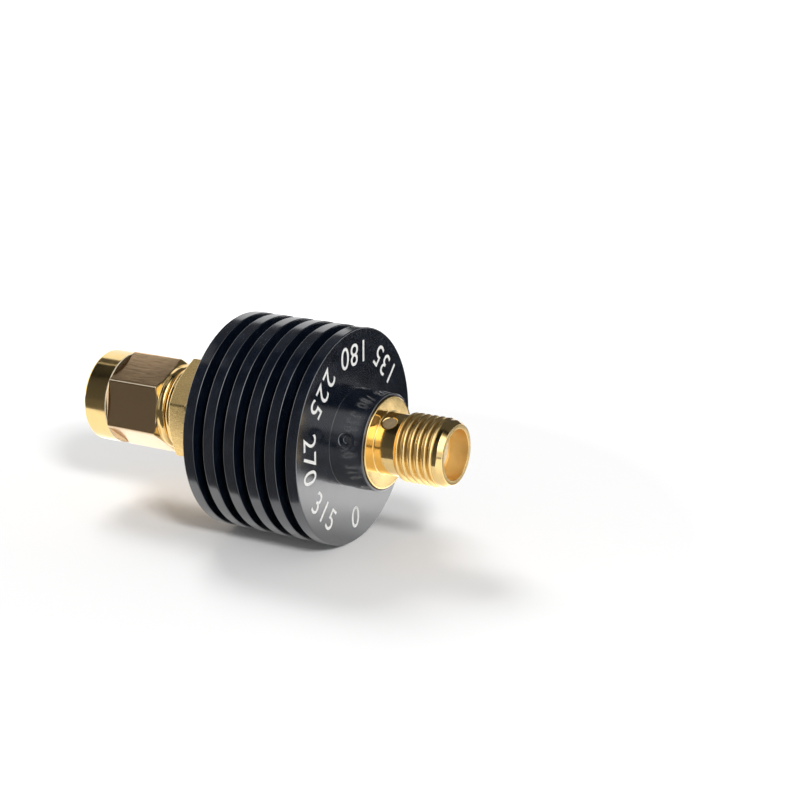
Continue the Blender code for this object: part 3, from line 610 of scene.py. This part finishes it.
class ATTENUATOR_OT_coupling_nut(bpy.types.Operator):
    """Builds the coupling nut: a hexagon between a round collar and a rounded lip, threaded inside"""
    bl_idname = "attenuator.coupling_nut"
    bl_label = "Coupling Nut"

    def execute(self, context):
        _, plug, jack, _ = settings()
        collar_rear = NUT_FRONT + plug.collar_length
        hex_rear = collar_rear + plug.hex_length
        corner = plug.flats / math.sqrt(3) - 0.02 * MM
        low = plug.flats / 2 + 0.10 * MM
        bevel = 0.12 * MM
        small = 0.04 * MM
        minor = jack.major - jack.depth + 0.05 * MM
        mouth = 0.55 * MM
        bore = plug.barrel_radius + 0.05 * MM
        ring = NUT_REAR - plug.ring_place
        half = 0.275 * MM
        relief = 3.35 * MM
        ring_space = 3.49 * MM
        thread_end = GASKET_FRONT - 0.85 * MM
        outer = [
            (NUT_FRONT, minor + mouth),
            (NUT_FRONT, plug.collar_radius - plug.collar_edge, 0.06 * MM),
            (NUT_FRONT + plug.collar_edge, plug.collar_radius, 0.10 * MM),
            (collar_rear - 0.10 * MM, plug.collar_radius, 0.01 * MM),
            (collar_rear - 0.04 * MM, plug.collar_radius, 0.01 * MM),
            (collar_rear, plug.collar_radius - 0.05 * MM, 0.01 * MM),
            (collar_rear + 0.02 * MM, corner),
            (hex_rear - (corner - low) * CHAMFER, corner),
            (hex_rear, low),
            (hex_rear + 0.05 * MM, plug.lip_radius - 0.04 * MM),
            (NUT_REAR - 0.25 * MM, plug.lip_radius + 0.01 * MM, 0.20 * MM),
            (NUT_REAR, plug.lip_radius - 0.22 * MM, 0.15 * MM),
        ]
        inner = [
            (NUT_REAR, bore),
            *groove(ring, half, bore, ring_space),
            (GASKET_REAR + 0.35 * MM, bore),
            (GASKET_REAR + 0.35 * MM, relief),
            (GASKET_FRONT - 0.35 * MM, relief),
            (thread_end, minor),
            (NUT_FRONT + mouth, minor),
        ]
        line = rounded(outer + inner, small)
        line = refine(line, 0.03 * MM, hex_rear - 0.75 * MM, hex_rear, low - small)
        line = refine(line, 0.06 * MM, NUT_FRONT + 0.3 * MM, thread_end + small, most=minor + 2 * small)
        theta = hexagon_angles(plug.turn)
        x, radius = carried(line, theta)
        on_hex = within(line, collar_rear, hex_rear + 0.02 * MM, low - small)
        radius, flats = milled(x, radius, theta, on_hex, plug.flats, plug.turn, hex_rear, bevel, 0.06 * MM)
        # The hexagon's corners and the collar's rear rim take the pale worn finish, which also paints a
        # highlight on them.
        edges = flats & (np.abs(np.sin(3 * (theta - plug.turn))) < 0.03)[None]
        worn_highlit_rim = (np.abs(x - collar_rear + 0.05 * MM) < 0.052 * MM) & (radius > plug.collar_radius - 0.06 * MM)
        inside = within(line, NUT_FRONT + 0.25 * MM, thread_end + small, most=minor + 3 * small)
        cutting = thread(x, theta[None], NUT_FRONT + 0.30 * MM, thread_end + small, jack, minor, -jack.depth)
        radius = np.where(inside[:, None], np.maximum(radius, cutting), radius)
        piece = round_surface("coupling_nut_milled", x, radius, theta, "gold_plate_turned",
                              others=["gold_plate_milled", "gold_plate_worn"],
                              where=flats.astype(int) + edges + 2 * worn_highlit_rim)
        dress(piece, "nut", "gold_plate_nut", "coupling_nut")
        return {"FINISHED"}


class ATTENUATOR_OT_plug_body(bpy.types.Operator):
    """Builds the plug's body: ferrule, barrel, shoulder ring, hexagonal flange and stub"""
    bl_idname = "attenuator.plug_body"
    bl_label = "Plug Body"

    def execute(self, context):
        _, plug, _, _ = settings()
        shoulder = NUT_REAR + 0.25 * MM
        flange = shoulder + plug.shoulder_length
        rear = flange + plug.flange_length
        corner = plug.flange_flats / math.sqrt(3) + 0.05 * MM
        small = 0.04 * MM
        low = plug.flange_flats / 2 - 0.20 * MM
        ring = NUT_REAR - plug.ring_place
        groove_floor = 2.69 * MM
        front_cut = 0.45 * MM
        rear_cut = 0.18 * MM
        inner_lip = 0.90 * MM
        neck = 1.60 * MM
        bevel = 0.14 * MM
        line = rounded([
            (PLUG_REAR, plug.stub_radius),
            (rear, plug.stub_radius),
            (rear, corner - rear_cut / CHAMFER),
            (rear - rear_cut, corner),
            (flange + front_cut, corner),
            (flange, max(low, corner - front_cut / CHAMFER)),
            (flange, plug.shoulder_radius),
            (shoulder, plug.shoulder_radius, 0.22 * MM),
            (shoulder, plug.barrel_radius),
            *groove(ring, plug.ring_groove, plug.barrel_radius, groove_floor),
            (GASKET_REAR + 0.05 * MM, plug.barrel_radius),
            (GASKET_REAR + 0.05 * MM, plug.ferrule_radius),
            (PLUG_FRONT, plug.ferrule_radius, 0.12 * MM),
            (PLUG_FRONT, plug.bore_radius, 0.02 * MM),
            (PLUG_REAR - inner_lip, plug.bore_radius),
            (PLUG_REAR - inner_lip, neck),
            (PLUG_REAR, neck),
        ], small)
        line = refine(line, 0.05 * MM, flange - 0.01 * MM, rear + 0.01 * MM, low - small)
        theta = hexagon_angles(plug.flange_turn)
        x, radius = carried(line, theta)
        on_hex = within(line, flange - small, rear + small, low - small)
        radius, flats = milled(x, radius, theta, on_hex, plug.flange_flats, plug.flange_turn, rear, bevel,
                               0.12 * MM)
        piece = round_surface("plug_body_turned", x, radius, theta, "gold_plate_turned",
                              others=["gold_plate_satin"], where=flats.astype(int))
        dress(piece, "housing", "gold_plate_body", "male_body")
        return {"FINISHED"}


class ATTENUATOR_OT_jack_body(bpy.types.Operator):
    """Builds the jack's body: disc, neck with its cross hole, thread, plain lead and bevelled rim"""
    bl_idname = "attenuator.jack_body"
    bl_label = "Jack Body"

    def execute(self, context):
        sink, plug, jack, _ = settings()
        lead = JACK_RIM - jack.rim_length
        thread_front = lead - jack.lead_length
        thread_rear = thread_front - jack.thread_length
        neck_front = thread_rear - jack.cone_length
        disc_front = neck_front - jack.neck_length
        disc_rear = disc_front - jack.disc_thick
        small = 0.04 * MM
        stake = SINK_FRONT - sink.stake_from_front
        half = 0.60 * MM
        groove_floor = plug.stub_radius - 0.35 * MM
        inner_lip = 0.90 * MM
        neck = 1.60 * MM
        line = rounded([
            (JACK_RIM, jack.bore_radius, 0.05 * MM),
            (JACK_RIM, jack.rim_radius, 0.05 * MM),
            (lead, jack.lead_radius, 0.05 * MM),
            (thread_front + 0.08 * MM, jack.lead_radius, 0.03 * MM),
            (thread_front + 0.04 * MM, jack.lead_radius - 0.07 * MM, 0.03 * MM),
            (thread_front, jack.lead_radius, 0.03 * MM),
            (thread_front - 0.13 * MM, jack.major),
            (thread_rear, jack.major),
            (neck_front, jack.neck_radius, 0.06 * MM),
            (disc_front, jack.neck_radius, 0.10 * MM),
            (disc_front, jack.disc_radius, 0.09 * MM),
            (disc_rear, jack.disc_radius),
            (disc_rear, plug.stub_radius),
            *groove(stake, half, plug.stub_radius, groove_floor),
            (JACK_REAR, plug.stub_radius),
            (JACK_REAR, neck),
            (JACK_REAR + inner_lip, neck),
            (JACK_REAR + inner_lip, plug.bore_radius),
            (JACK_RIM - jack.bore_depth, plug.bore_radius),
            (JACK_RIM - jack.bore_depth, jack.bore_radius),
        ], small)
        hole = jack.epoxy_radius
        line = refine(line, 0.045 * MM, thread_rear - 0.1 * MM, thread_front, jack.neck_radius + small)
        line = refine(line, 0.05 * MM, disc_front + small, neck_front, jack.neck_radius - small)
        spots = np.mod(jack.epoxy_turn + angles(2), 2 * math.pi)
        theta = angles(120, spots, 1.35 * hole / jack.neck_radius, math.radians(1.0))
        x, radius = carried(line, theta)
        on_thread = within(line, thread_rear - 0.2 * MM, thread_front, jack.neck_radius)[:, None]
        cutting = thread(x, theta[None], thread_rear - 0.1 * MM, thread_front, jack, jack.major, jack.depth)
        radius = np.where(on_thread, np.minimum(radius, cutting), radius)
        lean = np.minimum(nearest(theta, spots), math.pi / 2)
        away = np.hypot(x - EPOXY_MIDDLE, jack.neck_radius * np.sin(lean)[None])
        wall = np.clip((hole + 0.02 * MM - away) / (0.05 * MM), 0, 1) * 0.35 * MM
        bevel = np.clip((hole + 0.10 * MM - away), 0, 0.10 * MM)
        on_neck = (np.abs(line[:, 1] - jack.neck_radius) < small) & (line[:, 0] > disc_front)
        radius = radius - np.where(on_neck[:, None], wall + bevel, 0)
        bored = (radius < jack.bore_radius + small) & (x > JACK_RIM - jack.bore_depth - small)
        piece = round_surface("jack_body_turned", x, radius, theta, "gold_plate_turned",
                              others=["gold_plate_bored", "gold_plate_cut"],
                              where=np.where(bored, 1, np.where(on_thread, 2, 0)))
        dress(piece, "housing", "gold_plate_body", "female_body")
        outwards = math.cos(jack.epoxy_turn) * DOWN + math.sin(jack.epoxy_turn) * BACK
        crown = jack.neck_radius - 0.02 * MM
        sunk = 0.06 * MM
        dome = np.linspace(0, 1, 9)
        top = crown - sunk * dome ** 2
        foot = crown - 0.60 * MM
        rim = hole * 0.985
        for side, label in ((1, "lower"), (-1, "upper")):
            along = np.concatenate((top, [top[-1] - sunk, foot, foot]))
            radii = np.concatenate((dome * rim, [rim, rim, 0]))
            fill = round_surface("epoxy_fill_" + label, along, radii, angles(48), "cured_epoxy",
                                 closed=False, centre=(EPOXY_MIDDLE, 0, 0), axis=outwards * side)
            dress(fill, "housing", "epoxy", "female_epoxy")
        return {"FINISHED"}


class ATTENUATOR_OT_insides(bpy.types.Operator):
    """Builds the pin, insulators and gasket seen in the mouths, and finishes the solids that stay"""
    bl_idname = "attenuator.insides"
    bl_label = "Insides"

    def execute(self, context):
        plug = settings()[1]
        small = 0.03 * MM
        for name, node in (("plug_insulator", "male_insulator"), ("jack_insulator", "female_insulator")):
            ring = turned_ring(name, *node_span(node), 0.685 * MM, 2.05 * MM, "machined_ptfe",
                               small, small)
            dress(ring, "housing", "ptfe", node)
        gasket = turned_ring("gasket_moulded", GASKET_FRONT, GASKET_REAR, plug.ferrule_radius + 0.05 * MM,
                             3.10 * MM, "moulded_silicone", 0.05 * MM, 0.12 * MM)
        dress(gasket, "housing", "silicone_rubber", "nut_gasket")
        tip = 0.46 * MM
        thick = 0.635 * MM
        waist = 0.32 * MM
        rise = 0.22 * MM
        nose = np.linspace(0, math.pi / 2, 8)
        along = np.concatenate((PIN_TIP + rise * (1 - np.cos(nose)),
                                [PLUG_FRONT - small, PLUG_FRONT, PLUG_FRONT + small, PIN_REAR - 1.0 * MM,
                                 PIN_REAR - 1.0 * MM, PIN_REAR, PIN_REAR]))
        radii = np.concatenate((tip * np.sin(nose) ** 0.8,
                                [tip, thick - small, thick, thick, waist, waist, 0]))
        pin = round_surface("plug_pin", along, radii, angles(48), "gold_plate_turned",
                            closed=False)
        dress(pin, "housing", "gold_plate_contact", "male_center_pin")
        solids = {"nut_retaining_ring": "drawn_bronze", "male_epoxy": "cured_epoxy",
                  "female_contact": "gold_plate_turned", "input_chip_contact": "gold_plate_turned",
                  "output_chip_contact": "gold_plate_turned", "chip_carrier_upper": "machined_brass",
                  "chip_carrier_lower": "machined_brass", "attenuator_chip": "fired_alumina"}
        for node, finish in solids.items():
            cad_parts[node].material_slots[0].material = finish_named(finish)
        return {"FINISHED"}


def light_seen_by(tree, *rays):
    """One for each kind of ray named here, and otherwise nought."""
    path = add_node(tree, "LightPath")
    total = path.outputs[rays[0]]
    for name in rays[1:]:
        total = add_node(tree, "Math", (total, path.outputs[name]), operation="MAXIMUM")
    return total


def emission_material(name, strength, tint=(1, 1, 1)):
    made = bpy.data.materials.new(name)
    made.use_nodes = True
    made.node_tree.nodes.clear()
    glow = add_node(made.node_tree, "Emission", {"Color": (*tint, 1), "Strength": strength})
    add_node(made.node_tree, "OutputMaterial", {"Surface": glow})
    return made


def stage_plane(name, corners, finish):
    item = add_object(name, corners, [tuple(range(len(corners)))], finish)
    return item


def lamp(name, place, size, power):
    """A soft square lamp that shines at the part and doesn't show in mirrors."""
    data = bpy.data.lights.new(name, "AREA")
    data.shape = "SQUARE"
    data.size = size
    data.energy = power
    item = bpy.data.objects.new(name, data)
    bpy.context.scene.collection.objects.link(item)
    item.location = place
    item.rotation_euler = (-Vector(place)).to_track_quat("-Z", "Y").to_euler()
    item.visible_glossy = False


class ATTENUATOR_OT_stage(bpy.types.Operator):
    """Sets the pale floor, soft lamps, surroundings and the camera"""
    bl_idname = "attenuator.stage"
    bl_label = "Stage"

    def execute(self, context):
        scene = context.scene
        stage = scene.attenuator_stage
        sink = scene.attenuator_sink
        floor_z = -sink.fin_radius
        scene.view_settings.view_transform = "Standard"
        self.floor(stage, floor_z)
        self.surroundings(scene, stage)
        place = self.camera(scene, stage)
        self.flags(stage, floor_z, place)
        lamp("lamp_main", (0.245, -0.215, 0.235), 0.07, 1.10)
        lamp("lamp_top", (-0.20, 0.14, 0.30), 0.14, 0.80)
        return {"FINISHED"}

    def floor(self, stage, level):
        """White paper: it keeps the soft shadow, and is lifted to white for the camera and for mirrors.

        The lift grows with the distance from the part, so that the paper ends in plain white. Behind
        the part's axis mirrors see the paper brighter.
        """
        made, tree, shader, coords = new_material("white_paper")
        away = add_node(tree, "VectorMath", (coords,), operation="LENGTH")
        lift = add_node(tree, "MapRange", (away, 0.04, 0.12, 0.02, 1.0))
        seen = light_seen_by(tree, "Is Camera Ray", "Is Transmission Ray")
        plain = add_node(tree, "Math", (seen, lift), operation="MULTIPLY")
        depth = add_node(tree, "SeparateXYZ", (coords,)).outputs["Y"]
        lamplit = 0.9
        bright = add_node(tree, "MapRange", (depth, 0.0, 0.008, stage.mirrored - lamplit,
                                             stage.mirrored_back - lamplit))
        mirror = add_node(tree, "Math", (light_seen_by(tree, "Is Glossy Ray"), bright), operation="MULTIPLY")
        total = add_node(tree, "Math", (plain, mirror), operation="ADD")
        connect(tree, shader, {"Base Color": (0.80, 0.80, 0.80, 1), "Roughness": 0.9,
                               "Specular IOR Level": 0.1, "Emission Color": (1, 1, 1, 1),
                               "Emission Strength": total})
        reach = 3.0
        stage_plane("floor", [(-reach, -reach, level), (reach, -reach, level), (reach, reach, level),
                              (-reach, reach, level)], made)

    def surroundings(self, scene, stage):
        """White to the camera; to mirrors a dark room with a white wall at both ends.

        The place on the colour ramp is the angle over the part, from the horizon at the back to the
        one in front. A tall soft screen stands behind the camera, a little to its right, and the main
        lamp is a bright patch.
        """
        world = bpy.data.worlds.new("studio")
        world.use_nodes = True
        scene.world = world
        tree = world.node_tree
        tree.nodes.clear()
        coords = add_node(tree, "TexCoord").outputs["Generated"]

        def towards(direction):
            return add_node(tree, "VectorMath", (coords, direction), operation="DOT_PRODUCT")

        def lit(room, share, level):
            return add_node(tree, "Mix", {"Factor": share, "A": room, "B": (level, level, level, 1)},
                            data_type="RGBA")

        parts = add_node(tree, "SeparateXYZ", (coords,))
        angle = add_node(tree, "Math", (parts.outputs["Z"], parts.outputs["Y"]), operation="ARCTAN2")
        room = add_node(tree, "ValToRGB", (add_node(tree, "MapRange", (angle, 0.0, math.pi)),))
        dark = stage.mirrored_dark / stage.mirrored
        levels = ((0.00, dark), (0.42, dark), (0.46, 0.15 * dark), (0.66, 0.15 * dark), (0.72, 0.6 * dark),
                  (1.00, dark))
        while len(room.color_ramp.elements) < len(levels):
            room.color_ramp.elements.new(0.5)
        for stop, (place, level) in zip(room.color_ramp.elements, levels):
            stop.position = place
            stop.color = (level, level, level, 1)
        ends = add_node(tree, "Math", (parts.outputs["X"],), operation="ABSOLUTE")
        room = lit(room, add_node(tree, "MapRange", (ends, 0.68, 0.85)), 1.5)
        across = add_node(tree, "Math", (towards((0.771, 0.636, 0)),), operation="ABSOLUTE")
        screen = add_node(tree, "MapRange", (across, 0.22, 0.32, 1.0, 0.0))
        ahead = add_node(tree, "MapRange", (towards((0.636, -0.771, 0)), 0.15, 0.30))
        room = lit(room, add_node(tree, "Math", (screen, ahead), operation="MULTIPLY"), 0.8)
        lamp_patch = add_node(tree, "MapRange", (towards((0.47, -0.57, 0.68)), 0.89, 0.95))
        room = lit(room, lamp_patch, stage.mirrored_lamp / stage.mirrored)
        glossy = add_node(tree, "Background", (room, stage.mirrored))
        plain = add_node(tree, "Background", ((1, 1, 1, 1), 0.45))
        white = add_node(tree, "Background", ((1, 1, 1, 1), 1.0))
        inner = add_node(tree, "MixShader", (light_seen_by(tree, "Is Glossy Ray"), plain, glossy))
        seen = light_seen_by(tree, "Is Camera Ray", "Is Transmission Ray")
        add_node(tree, "OutputWorld", (add_node(tree, "MixShader", (seen, inner, white)),))

    def flags(self, stage, floor_z, camera):
        """Dark cards on the paper, and pale ones behind and over the part, which only mirrors see.

        The oval cards lie where a disc that faces +X, at the station x, mirrors the paper. Every
        other outline is in millimetres.
        """
        def oval(x, radius, lift):
            y, z = radius * np.sin(angles(36)), radius * np.cos(angles(36))
            k = (z - floor_z) / (camera.z - z)
            a, b = (x + (camera.x - x) * k) / MM, (y + (y - camera.y) * k) / MM
            return [(*point, floor_z / MM + lift) for point in zip(a, b)]

        tone = stage.mirrored_dark
        dark = emission_material("black_card", 1.5, (tone, 0.97 * tone, 0.92 * tone))
        darkest = emission_material("velvet_card", 0.4, (tone, tone, tone))
        white = emission_material("white_card", stage.mirrored)
        bright = emission_material("bright_card", 1.35 * stage.mirrored)
        grey = emission_material("grey_card", 0.40)
        low = floor_z / MM + 0.05
        front = [(-3000, -1130), (-27, -20.9), (-17.4, -15.5), (-1, -11.4), (4, -12.6), (9, -17.5),
                 (40, -60), (3000, -3000), (-3000, -3000)]
        back = [(-300, 60), (-40, 40), (16.3, 15.6), (22, 12.4), (60, 12.4), (300, 60), (300, 100),
                (-300, 100)]
        wall = [(-7, -9), (-7, 29), (-26, 29), (-50, 52), (-120, 52), (-120, -9)]
        jack = bpy.context.scene.attenuator_jack
        disc_front = JACK_RIM - (jack.rim_length + jack.lead_length + jack.thread_length + jack.cone_length
                                 + jack.neck_length)
        cards = (("flag_front", [(x, y, low) for x, y in front], dark),
                 ("flag_back", [(x, y, low) for x, y in back], darkest),
                 ("card_disc", oval(disc_front, jack.disc_radius, 0.10), bright),
                 ("card_rim", oval(JACK_RIM, jack.rim_radius + 0.05 * MM, 0.15), white),
                 ("white_wall", [(x, 25, z) for x, z in wall], white),
                 ("grey_card", [(-40, -18, 40), (-24, -18, 40), (-24, -1, 40), (-40, -1, 40)], grey),
                 ("white_strip", [(-90, 3.5, 45), (-35, 3.5, 45), (-35, 5.0, 45), (-90, 5.0, 45)], white))
        for name, outline, finish in cards:
            card = stage_plane(name, [(x * MM, y * MM, z * MM) for x, y, z in outline], finish)
            for rays in ("camera", "diffuse", "shadow", "transmission"):
                setattr(card, "visible_" + rays, False)

    def camera(self, scene, stage):
        """The camera looks at the part from its two angles, and is then shifted aside and up."""
        data = bpy.data.cameras.new("camera")
        data.lens = stage.lens
        data.sensor_width = 36.0
        data.clip_start = 0.01
        data.clip_end = 10.0
        a, e = stage.azimuth, stage.elevation
        back = Vector((math.sin(a) * math.cos(e), -math.cos(a) * math.cos(e), math.sin(e)))
        right = Vector((math.cos(a), math.sin(a), 0))
        up = back.cross(right)
        item = bpy.data.objects.new("camera", data)
        scene.collection.objects.link(item)
        place = Vector((CHIP_MIDDLE, 0, 0)) + back * stage.distance + right * stage.aside + up * stage.above
        basis = Matrix((right, up, back)).transposed().to_4x4()
        item.matrix_world = Matrix.Translation(place) @ basis
        scene.camera = item
        return place


class ATTENUATOR_PT_panel(bpy.types.Panel):
    """Lists the steps in order"""
    bl_label = "Attenuator"
    bl_idname = "ATTENUATOR_PT_panel"
    bl_space_type = "VIEW_3D"
    bl_region_type = "UI"
    bl_category = "Attenuator"

    def draw(self, context):
        for operator in OPERATORS:
            self.layout.operator(operator.bl_idname)


OPERATORS = (ATTENUATOR_OT_heat_sink, ATTENUATOR_OT_marking, ATTENUATOR_OT_coupling_nut,
             ATTENUATOR_OT_plug_body, ATTENUATOR_OT_jack_body, ATTENUATOR_OT_insides, ATTENUATOR_OT_stage)
GROUPS = {"attenuator_sink": SinkSizes, "attenuator_plug": PlugSizes, "attenuator_jack": JackSizes,
          "attenuator_colours": FinishColours, "attenuator_stage": StageSettings}


def register():
    for kind in (*GROUPS.values(), *OPERATORS, ATTENUATOR_PT_panel):
        bpy.utils.register_class(kind)
    for name, kind in GROUPS.items():
        setattr(bpy.types.Scene, name, PointerProperty(type=kind))


def unregister():
    for name in GROUPS:
        delattr(bpy.types.Scene, name)
    for kind in (ATTENUATOR_PT_panel, *reversed(OPERATORS), *reversed(list(GROUPS.values()))):
        bpy.utils.unregister_class(kind)


def main():
    register()
    bpy.ops.attenuator.heat_sink()
    bpy.ops.attenuator.marking()
    bpy.ops.attenuator.coupling_nut()
    bpy.ops.attenuator.plug_body()
    bpy.ops.attenuator.jack_body()
    bpy.ops.attenuator.insides()
    bpy.ops.attenuator.stage()


if __name__ == "__main__":
    main()
